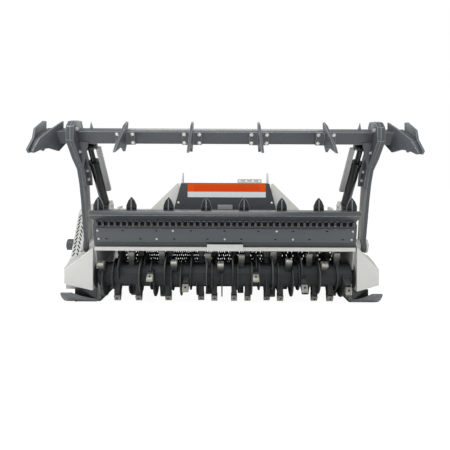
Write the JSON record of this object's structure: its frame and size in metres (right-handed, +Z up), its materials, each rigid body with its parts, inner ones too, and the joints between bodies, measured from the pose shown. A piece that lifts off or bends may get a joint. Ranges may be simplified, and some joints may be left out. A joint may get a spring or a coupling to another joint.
{
  "type": "forestry mulcher",
  "caption": "Three-point mounted forestry mulching head: toothed rotor in an open-fronted housing on skids, with a hydraulic push frame over it.",
  "frame": {"origin": "centre of the base of the bounding box, on the floor under the skids", "axes": "+X to the right seen from the working side, -Y towards the working side, +Z up"},
  "size_m": [2.62, 1.512, 1.402],
  "materials": {
    "dark_grey_paint": "satin dark grey paint, worn at the edges",
    "light_grey_paint": "gloss light grey paint",
    "zinc_steel": "bright zinc",
    "cast_housing": "painted casting",
    "machined_steel": "machined and oiled",
    "black_plastic": "matt black",
    "chain_steel": "dull galvanised links",
    "black_paint": "gloss black",
    "polished_rod": "hard chrome",
    "worn_dark_steel": "dark paint, scuffed",
    "tooth_steel": "forged, bright at the tips"
  },
  "bodies": {
    "housing": {"apron_comb": "dark_grey_paint", "apron_spikes": "dark_grey_paint", "apron_wear_plate": "dark_grey_paint", "belt_casing": "light_grey_paint", "belt_casing_cap": "dark_grey_paint", "chain_curtain": "chain_steel", "chain_rail": "dark_grey_paint", "cover_block": "light_grey_paint", "cross_shaft_tube": "light_grey_paint", "cylinder_lugs": "light_grey_paint", "front_apron": "dark_grey_paint", "front_beam": "light_grey_paint", "gearbox": "cast_housing", "gearbox_cover": "dark_grey_paint", "headstock_gussets": "light_grey_paint", "headstock_plates": "light_grey_paint", "hose_bracket": "light_grey_paint", "housing_deck": "light_grey_paint", "input_guard": "black_plastic", "input_shaft": "machined_steel", "lower_link_pins": "zinc_steel", "pivot_brackets": "light_grey_paint", "rear_cross_tube": "light_grey_paint", "rotor_bearings": "dark_grey_paint", "rotor_hood": "light_grey_paint", "side_plate_left": "light_grey_paint", "side_plate_right": "light_grey_paint", "skid_left": "dark_grey_paint", "skid_right": "dark_grey_paint", "skid_webs": "dark_grey_paint", "top_link_bracket": "light_grey_paint", "wing_left": "light_grey_paint", "wing_right": "light_grey_paint"},
    "rotor": {"rotor_drum": "worn_dark_steel", "rotor_teeth": "tooth_steel", "tooth_holders": "worn_dark_steel"},
    "push_frame": {"arm_doublers": "dark_grey_paint", "bar_fins": "dark_grey_paint", "claw_left": "dark_grey_paint", "claw_right": "dark_grey_paint", "knee_braces": "dark_grey_paint", "push_arm_left": "dark_grey_paint", "push_arm_right": "dark_grey_paint", "push_bar": "dark_grey_paint"},
    "cylinder_left": {"cylinder_barrel_left": "black_paint"},
    "cylinder_right": {"cylinder_barrel_right": "black_paint"},
    "rod_left": {"cylinder_guard_left": "light_grey_paint", "cylinder_rod_left": "polished_rod"},
    "rod_right": {"cylinder_guard_right": "light_grey_paint", "cylinder_rod_right": "polished_rod"}
  },
  "joints": [
    {"name": "rotor_spin", "type": "hinge", "parent": "housing", "child": "rotor", "pos_m": [0, -0.154, 0.228], "axis": [1, 0, 0], "continuous": true},
    {"name": "push_frame_tilt", "type": "hinge", "parent": "housing", "child": "push_frame", "pos_m": [0, -0.108, 0.452], "axis": [1, 0, 0], "range_deg": [-12, 25]},
    {"name": "cylinder_left_swing", "type": "hinge", "parent": "housing", "child": "cylinder_left", "pos_m": [-1.01, 0.053, 0.755], "axis": [1, 0, 0], "range_deg": [-14.56, 29.25]},
    {"name": "cylinder_left_stroke", "type": "slide", "parent": "cylinder_left", "child": "rod_left", "axis": [0, -0.6429, 0.7659], "range_m": [-0.0688, 0.1412]},
    {"name": "cylinder_right_swing", "type": "hinge", "parent": "housing", "child": "cylinder_right", "pos_m": [1.01, 0.053, 0.755], "axis": [1, 0, 0], "range_deg": [-14.56, 29.25]},
    {"name": "cylinder_right_stroke", "type": "slide", "parent": "cylinder_right", "child": "rod_right", "axis": [0, -0.6429, 0.7659], "range_m": [-0.0688, 0.1412]}
  ],
  "couplings": [
    {"joint": "cylinder_left_swing", "follows": "push_frame_tilt", "ratio": 1.13},
    {"joint": "cylinder_left_stroke", "follows": "push_frame_tilt", "m_per_rad": 0.319},
    {"joint": "cylinder_right_swing", "follows": "push_frame_tilt", "ratio": 1.13},
    {"joint": "cylinder_right_stroke", "follows": "push_frame_tilt", "m_per_rad": 0.319}
  ]
}
